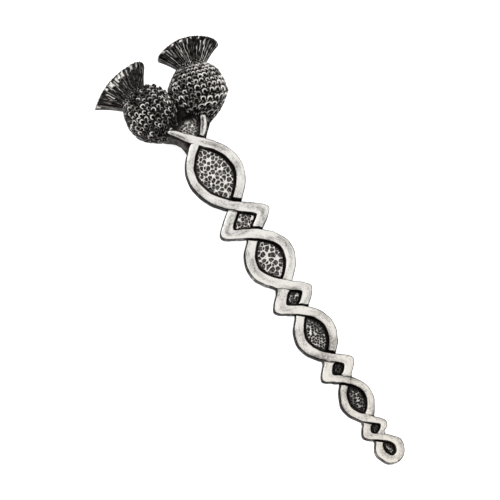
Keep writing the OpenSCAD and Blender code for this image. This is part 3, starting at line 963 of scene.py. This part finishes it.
# Pewter by wear and painted light, from the patina in the recesses to rubbed metal and painted
# highlights
PEWTER_COLOURS = [
    (0.0, (0.0036, 0.0028, 0.0025)), (0.25, (0.034, 0.029, 0.026)),
    (0.5, (0.225, 0.213, 0.205)), (0.75, (0.56, 0.54, 0.515)), (1.0, (0.83, 0.805, 0.768)),
]
PEWTER_METAL = [(0.0, 0.2), (0.6, 0.9), (1.0, 1.0)]
PEWTER_ROUGHNESS = [(0.0, 0.6), (0.4, 0.5), (1.0, 0.34)]
PEWTER_GLOSS = [(0.0, 0.03), (0.5, 0.4), (1.0, 0.5)]
# Tint of the bands by the share of their length from the thistles
BAND_TINT = [(0.3, (1.0, 1.0, 1.0)), (1.0, (1.0, 0.975, 0.925))]
BAND_LENGTH = 112
SMUDGE_OFFSET = (18.5, 6.5, 0)


def new_material(name):
    """A material, its node tree, its shader, and its texture coordinates."""
    material = bpy.data.materials.new(name)
    material.use_nodes = True
    tree = material.node_tree
    where = tree.nodes.new("ShaderNodeTexCoord")
    return material, tree, tree.nodes["Principled BSDF"], where.outputs


def feed(node, values):
    """Link or set a node's inputs, by name or by number."""
    for key, value in values.items():
        if isinstance(value, bpy.types.NodeSocket):
            node.id_data.links.new(value, node.inputs[key])
        else:
            node.inputs[key].default_value = value


def ramp(tree, stops, source):
    """Colour or value by source, from a list of positions and colours or values."""
    made = tree.nodes.new("ShaderNodeValToRGB")
    elements = made.color_ramp.elements
    while len(elements) < len(stops):
        elements.new(0.5)
    for element, (position, value) in zip(elements, stops):
        element.position = position
        if isinstance(value, (int, float)):
            value = (value, value, value)
        element.color = (*value, 1)
    feed(made, {"Fac": source})
    return made.outputs["Color"]


def combine(tree, operation, a, b, clamp=False):
    """Result of a mathematical operation on two sockets or numbers."""
    made = tree.nodes.new("ShaderNodeMath")
    made.operation = operation
    made.use_clamp = clamp
    feed(made, {0: a, 1: b})
    return made.outputs[0]


def noise(tree, vector, scale, detail=4.0, rough=0.55):
    """A field of soft noise, about 1 / scale across."""
    made = tree.nodes.new("ShaderNodeTexNoise")
    feed(made, {"Scale": scale, "Detail": detail, "Roughness": rough, "Vector": vector})
    return made.outputs["Fac"]


def scaled(tree, vector, scale, offset=(0, 0, 0)):
    """Coordinates stretched and moved."""
    made = tree.nodes.new("ShaderNodeMapping")
    feed(made, {"Scale": scale, "Location": offset, "Vector": vector})
    return made.outputs["Vector"]


def add_bump(shader, height, strength, depth):
    """Fine relief on a shader, `depth` mm deep."""
    bump = shader.id_data.nodes.new("ShaderNodeBump")
    feed(bump, {"Strength": strength, "Distance": depth * MM, "Height": height})
    feed(shader, {"Normal": bump.outputs["Normal"]})


def antiqued_pewter(name, streaks):
    """Light rubbed pewter over a nearly black patina, by the mesh's wear with its painted
    highlights and shade, and fine noise.
    """
    material, tree, shader, coords = new_material(name)
    wear_and_light_node = tree.nodes.new("ShaderNodeAttribute")
    wear_and_light_node.attribute_name = "wear_and_painted_light"
    object_mm = scaled(tree, coords["Object"], (1000, 1000, 1000))
    blotch = noise(tree, object_mm, 0.9, 5.0)
    relief = noise(tree, object_mm, 9.0, 3.0)
    # blotches eat into half-worn places and leave both ends alone
    shift = combine(tree, "MULTIPLY", combine(tree, "SUBTRACT", blotch, 0.5), 0.5)
    mask = combine(tree, "ADD", wear_and_light_node.outputs["Fac"], shift, clamp=True)
    if streaks:
        streak = noise(tree, scaled(tree, coords["UV"], (2.0, 6.0, 1)), 1.0, 4.0, 0.6)
        smudge_at = scaled(tree, coords["UV"], (0.16, 0.5, 1), SMUDGE_OFFSET)
        smudge = noise(tree, smudge_at, 1.0, 2.0)
        both = combine(tree, "ADD", combine(tree, "MULTIPLY", smudge, 1.4), streak)
        stain = combine(tree, "MULTIPLY", combine(tree, "SUBTRACT", both, 1.275), 1.3)
        mask = combine(tree, "ADD", mask, stain, clamp=True)
        relief = combine(tree, "ADD", combine(tree, "MULTIPLY", streak, 0.6), relief)
    colour = ramp(tree, PEWTER_COLOURS, mask)
    if streaks:
        split = tree.nodes.new("ShaderNodeSeparateXYZ")
        feed(split, {"Vector": coords["UV"]})
        share = combine(tree, "DIVIDE", split.outputs["X"], BAND_LENGTH)
        tinted = tree.nodes.new("ShaderNodeVectorMath")
        tinted.operation = "MULTIPLY"
        feed(tinted, {0: colour, 1: ramp(tree, BAND_TINT, share)})
        colour = tinted.outputs["Vector"]
    feed(shader, {
        "Base Color": colour,
        "Metallic": ramp(tree, PEWTER_METAL, mask),
        "Roughness": ramp(tree, PEWTER_ROUGHNESS, mask),
        "Specular IOR Level": ramp(tree, PEWTER_GLOSS, mask),
    })
    add_bump(shader, relief, strength=0.35, depth=0.03)
    return material


def drawn_steel():
    """Bright wire, drawn lengthwise."""
    material, tree, shader, coords = new_material("drawn_steel")
    lines = noise(tree, scaled(tree, coords["Object"], (9000, 300, 9000)), 1.0, 3.0)
    colour = ramp(tree, [(0.3, (0.5, 0.5, 0.5)), (0.7, (0.68, 0.675, 0.67))], lines)
    roughness = ramp(tree, [(0.3, 0.34), (0.7, 0.22)], lines)
    feed(shader, {"Base Color": colour, "Metallic": 1.0, "Roughness": roughness})
    add_bump(shader, lines, strength=0.2, depth=0.01)
    return material


# Fittings on the back

# Points round the ear's outline, width of its softened edges, and wear of the fittings
EAR_POINTS = 96
EAR_SOFT = 0.15
FITTING_WEAR = 0.55
CATCH_SOFT = 0.12


def profile_points(corners, rays, hole_centre):
    """Where each ray from hole_centre first meets an outline."""
    p = np.array(corners) - hole_centre
    edge = np.roll(p, -1, axis=0) - p
    facing = np.outer(rays[:, 0], edge[:, 1]) - np.outer(rays[:, 1], edge[:, 0])
    reach = (p[:, 0] * edge[:, 1] - p[:, 1] * edge[:, 0]) / facing
    share = (np.outer(rays[:, 1], p[:, 0]) - np.outer(rays[:, 0], p[:, 1])) / facing
    reach[(reach < 0) | (share < 0) | (share > 1)] = np.inf
    return hole_centre + rays * reach.min(axis=1)[:, None]


def build_ear(name, side, material):
    """Tapering ear with a rivet hole: rings from the hole's wall out and over the edge."""
    low = -BACK_Z
    foot = EAR_L / 2
    root = foot + EAR_FLARE
    corners = [(-foot, low), (foot, low), (foot, low + 0.6)]
    corners += [(root, SINK), (-root, SINK), (-foot, low + 0.6)]
    hole = np.array([0.0, RIVET_Z - BACK_Z])
    turns = 2 * math.pi * (np.arange(EAR_POINTS) + 0.5) / EAR_POINTS
    circle = np.stack([np.cos(turns), np.sin(turns)], axis=1)
    rim = profile_points(corners, circle, hole)
    half = EAR_T / 2
    wall = hole + circle * RIVET_HOLE_R
    mouth = hole + circle * (RIVET_HOLE_R + EAR_SOFT)
    out = np.linalg.norm(rim - hole, axis=1)[:, None]
    pulled = hole + (rim - hole) * (1 - EAR_SOFT / out)
    rings = [(-half + EAR_SOFT, wall), (-half, mouth), (-half, pulled), (-half + EAR_SOFT, rim)]
    rings += [(-x, ring) for x, ring in reversed(rings)]
    middle_x = side * (EAR_X + half)
    points = [(middle_x + x, HINGE_Y + p[0], p[1]) for x, ring in rings for p in ring]
    around = grid_faces(len(rings) + 1, EAR_POINTS, wrap=True)
    faces = (np.array(around) % len(points)).tolist()
    wear_and_painted_light = np.full(len(points), FITTING_WEAR)
    return make_piece(name, points, faces, wear_and_painted_light, material, sharp=35)


def build_catch(material):
    """Hook that the wire slides into from the side, as an outline drawn along Y."""
    low = -BACK_Z
    wire_z = WIRE_Z - BACK_Z
    lip = CHANNEL_R * 1.8
    half = CATCH_W / 2
    outline = [(-half, SINK), (-half, low), (half, low), (half, wire_z)]
    for degrees in range(0, -181, -15):
        turned = CHANNEL_R * unit(degrees)
        outline.append((turned[0], wire_z + turned[1]))
    outline += [(-CHANNEL_R, wire_z + lip * 0.6), (-CHANNEL_R + 0.3, wire_z + lip)]
    outline += [(half, wire_z + lip), (half, SINK)]
    n = len(outline)
    points = []
    for side in (-1, 1):
        for x, z in outline:
            spread = CATCH_FLARE * (z - low) / (SINK - low)
            points.append((x, CATCH_Y + side * (CATCH_L / 2 + spread), z))
    faces = [list(range(n)), list(range(2 * n - 1, n - 1, -1))]
    faces += [[k, k + n, (k + 1) % n + n, (k + 1) % n] for k in range(n)]
    wear_and_painted_light = np.full(2 * n, FITTING_WEAR)
    piece = make_piece("pin_catch", points, faces, wear_and_painted_light, material, sharp=35)
    bevel = piece.modifiers.new("soft_edges", "BEVEL")
    bevel.width = CATCH_SOFT * MM
    bevel.segments = 2
    bevel.limit_method = "ANGLE"
    return piece


# The object

shaft_pewter = antiqued_pewter("shaft_pewter", streaks=True)
relief_pewter = antiqued_pewter("relief_pewter", streaks=False)

made = [
    build_band("band_from_left", True, shaft_pewter),
    build_band("band_from_right", False, shaft_pewter),
    build_web(relief_pewter),
    build_ear("left_ear", -1, relief_pewter),
    build_ear("right_ear", 1, relief_pewter),
    build_catch(relief_pewter),
]
made += [build_floor(f"panel_floor_{i + 1}", i, relief_pewter) for i in range(len(FLOORS))]
made += [build_bulb(name, relief_pewter) for name in BULBS]
made += [build_crown(name, relief_pewter) for name in CROWNS]
for piece in made:
    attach(piece, "root")
    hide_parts("casting")

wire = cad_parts["brooch_pin"]
wire.data.materials.clear()
wire.data.materials.append(drawn_steel())


# Floor, light and camera

def make_floor():
    bpy.ops.mesh.primitive_plane_add(size=4)
    floor = bpy.context.object
    floor.name = "studio_floor"
    material, _, shader, _ = new_material("white_floor")
    feed(shader, {"Base Color": (0.95, 0.95, 0.95, 1), "Roughness": 0.9})
    feed(shader, {"Emission Color": (1, 1, 1, 1), "Emission Strength": 0.6})
    floor.data.materials.append(material)


def make_area(name, place_at, aim, size, power):
    light = bpy.data.lights.new(name, "AREA")
    light.shape = "DISK"
    light.size = size
    light.energy = power
    lamp = bpy.data.objects.new(name, light)
    lamp.location = place_at
    direction = Vector(aim) - Vector(place_at)
    lamp.rotation_euler = direction.to_track_quat("-Z", "Y").to_euler()
    bpy.context.scene.collection.objects.link(lamp)


def make_world():
    world = bpy.data.worlds.new("white_tent")
    world.use_nodes = True
    feed(world.node_tree.nodes["Background"], {"Color": (1, 1, 1, 1), "Strength": 1.0})
    bpy.context.scene.world = world


# Camera: the pin's lean in the picture, its own tilt in degrees and which way it tilts, metres
# to the point it aims at, that point in the casting's chart, and scale and size of the picture
LEAN = 31.8
TILT = 9.5
TILT_TOWARDS = unit(214)
DISTANCE = 0.8
CENTRE_AIM = (-2.58, 3.31, BAND_H)
PIXELS_PER_MM = 4.76
IMAGE_SIZE = 500


def make_camera():
    """A distant camera over the pin, tilted a little and turned so that the pin leans."""
    aim = Vector(place(CENTRE_AIM))
    tilt = math.radians(TILT)
    away = Vector((*TILT_TOWARDS * math.sin(tilt), math.cos(tilt)))
    up = Vector((math.sin(math.radians(LEAN)), math.cos(math.radians(LEAN)), 0))
    right = up.cross(away).normalized()
    up = away.cross(right).normalized()
    camera = bpy.data.cameras.new("camera")
    camera.sensor_width = 36
    camera.lens = camera.sensor_width * DISTANCE / (IMAGE_SIZE / PIXELS_PER_MM * MM)
    holder = bpy.data.objects.new("camera", camera)
    turned = Matrix((right, up, away)).transposed().to_4x4()
    holder.matrix_world = Matrix.Translation(aim + away * DISTANCE) @ turned
    bpy.context.scene.collection.objects.link(holder)
    bpy.context.scene.camera = holder


make_floor()
make_world()
make_area("top_softbox", (-0.15, 0.45, 0.6), (0, 0, 0), 0.3, 0.8)
make_camera()
bpy.context.scene.view_settings.view_transform = "Standard"
